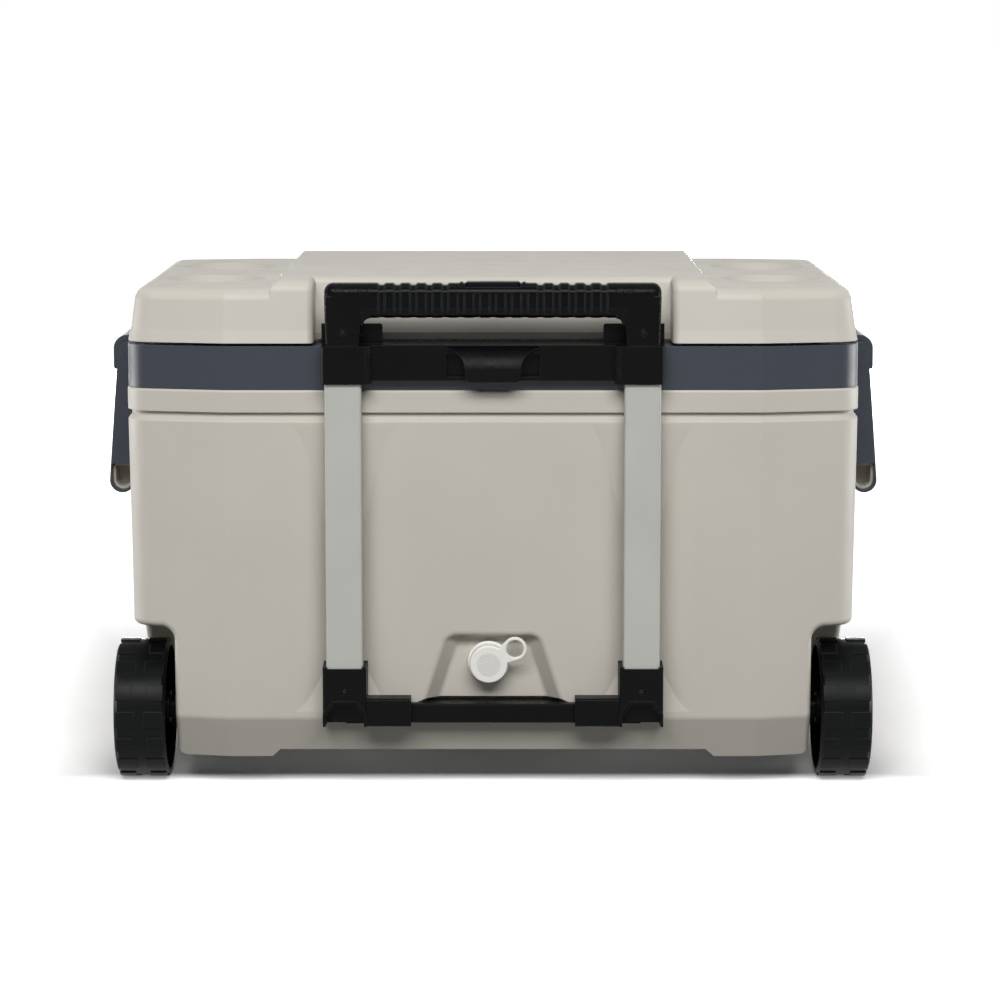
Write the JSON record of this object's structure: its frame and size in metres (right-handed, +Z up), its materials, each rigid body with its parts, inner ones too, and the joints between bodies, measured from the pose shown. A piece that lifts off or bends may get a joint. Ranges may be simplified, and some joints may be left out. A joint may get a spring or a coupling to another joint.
{
  "type": "wheeled cooler",
  "caption": "Insulated box with a hinged lid, a telescopic tow handle over wheels at one long side, swing-up carry handles and a drain plug.",
  "frame": {"origin": "middle of the bounding box, at the floor", "axes": "+X along the long side, to the right of the handle side; +Y from the handle side to the lid hinges; +Z up"},
  "size_m": [0.741, 0.47, 0.478],
  "materials": {
    "sand_plastic": "satin",
    "liner_plastic": "satin",
    "slate_plastic": "satin",
    "black_plastic": "satin",
    "wheel_plastic": "satin",
    "white_plastic": "satin",
    "tube_paint": "satin",
    "steel": "satin",
    "black_steel": "satin",
    "rubber": "matte",
    "foam": "matte"
  },
  "bodies": {
    "box": {"axle_caps": "black_plastic", "axle_washers": "black_plastic", "body_insulation": "foam", "body_liner": "liner_plastic", "body_shell": "sand_plastic", "drain_nut": "white_plastic", "drain_spout": "white_plastic", "drain_washer": "rubber", "hinge_base_left": "slate_plastic", "hinge_base_right": "slate_plastic", "hinge_base_screws": "steel", "hinge_pin_left": "steel", "hinge_pin_right": "steel", "lower_bracket_left": "black_plastic", "lower_bracket_right": "black_plastic", "lower_bracket_screws": "black_steel", "lower_crossbar": "black_plastic", "outer_tube_left": "tube_paint", "outer_tube_right": "tube_paint", "rim_band": "slate_plastic", "side_mount_left": "slate_plastic", "side_mount_right": "slate_plastic", "side_mount_screws": "steel", "side_pin_left": "steel", "side_pin_right": "steel", "upper_bracket": "black_plastic", "upper_bracket_screws": "black_steel", "wheel_axle": "steel"},
    "lid": {"lid_shell": "sand_plastic", "lid_insulation": "foam", "lid_liner": "liner_plastic", "hinge_leaf_screws": "steel", "hinge_leaf_left": "slate_plastic", "hinge_leaf_right": "slate_plastic"},
    "middle_stage": {"middle_tube_left": "tube_paint", "middle_tube_right": "tube_paint", "middle_bush_left": "black_plastic", "middle_bush_right": "black_plastic"},
    "tow_handle": {"grip_front": "black_plastic", "grip_rear": "black_plastic", "grip_screws": "black_steel", "release_spring": "steel", "inner_tube_left": "tube_paint", "inner_tube_right": "tube_paint", "lock_block_left": "black_plastic", "lock_block_right": "black_plastic"},
    "release": {"release_button": "black_plastic", "release_yoke": "black_plastic", "release_rod_left": "steel", "release_rod_right": "steel"},
    "lock_left": {"lock_pin_left": "steel"},
    "lock_right": {"lock_pin_right": "steel"},
    "carry_left": {"side_bail_left": "slate_plastic", "side_grip_left": "sand_plastic"},
    "carry_right": {"side_bail_right": "slate_plastic", "side_grip_right": "sand_plastic"},
    "roller_left": {"wheel_left": "wheel_plastic"},
    "roller_right": {"wheel_right": "wheel_plastic"},
    "plug": {"drain_plug": "white_plastic"}
  },
  "joints": [
    {"name": "lid_hinge", "type": "hinge", "parent": "box", "child": "lid", "pos_m": [0, 0.22855, 0.4183], "axis": [-1, 0, 0], "range_deg": [0, 100]},
    {"name": "middle_slide", "type": "slide", "parent": "box", "child": "middle_stage", "axis": [0, 0, 1], "range_m": [0, 0.22]},
    {"name": "tow_slide", "type": "slide", "parent": "middle_stage", "child": "tow_handle", "axis": [0, 0, 1], "range_m": [0, 0.22]},
    {"name": "button_press", "type": "slide", "parent": "tow_handle", "child": "release", "axis": [0, 0, -1], "range_m": [0, 0.004], "stiffness_N_per_m": 600, "springref_m": -0.006, "deforming": ["release_spring"]},
    {"name": "lock_left_draw", "type": "slide", "parent": "tow_handle", "child": "lock_left", "axis": [1, 0, 0], "range_m": [0, 0.003]},
    {"name": "lock_right_draw", "type": "slide", "parent": "tow_handle", "child": "lock_right", "axis": [-1, 0, 0], "range_m": [0, 0.003]},
    {"name": "carry_left_swing", "type": "hinge", "parent": "box", "child": "carry_left", "pos_m": [-0.352, 0.00455, 0.398], "axis": [0, 1, 0], "range_deg": [0, 100]},
    {"name": "carry_right_swing", "type": "hinge", "parent": "box", "child": "carry_right", "pos_m": [0.352, 0.00455, 0.398], "axis": [0, -1, 0], "range_deg": [0, 100]},
    {"name": "wheel_left_spin", "type": "hinge", "parent": "box", "child": "roller_left", "pos_m": [-0.331, -0.13545, 0.066], "axis": [1, 0, 0], "continuous": true},
    {"name": "wheel_right_spin", "type": "hinge", "parent": "box", "child": "roller_right", "pos_m": [0.331, -0.13545, 0.066], "axis": [1, 0, 0], "continuous": true},
    {"name": "plug_pull", "type": "slide", "parent": "box", "child": "plug", "axis": [0, -1, 0], "range_m": [0, 0.03]}
  ],
  "couplings": [
    {"joint": "lock_left_draw", "follows": "button_press", "ratio": 0.75},
    {"joint": "lock_right_draw", "follows": "button_press", "ratio": 0.75}
  ]
}
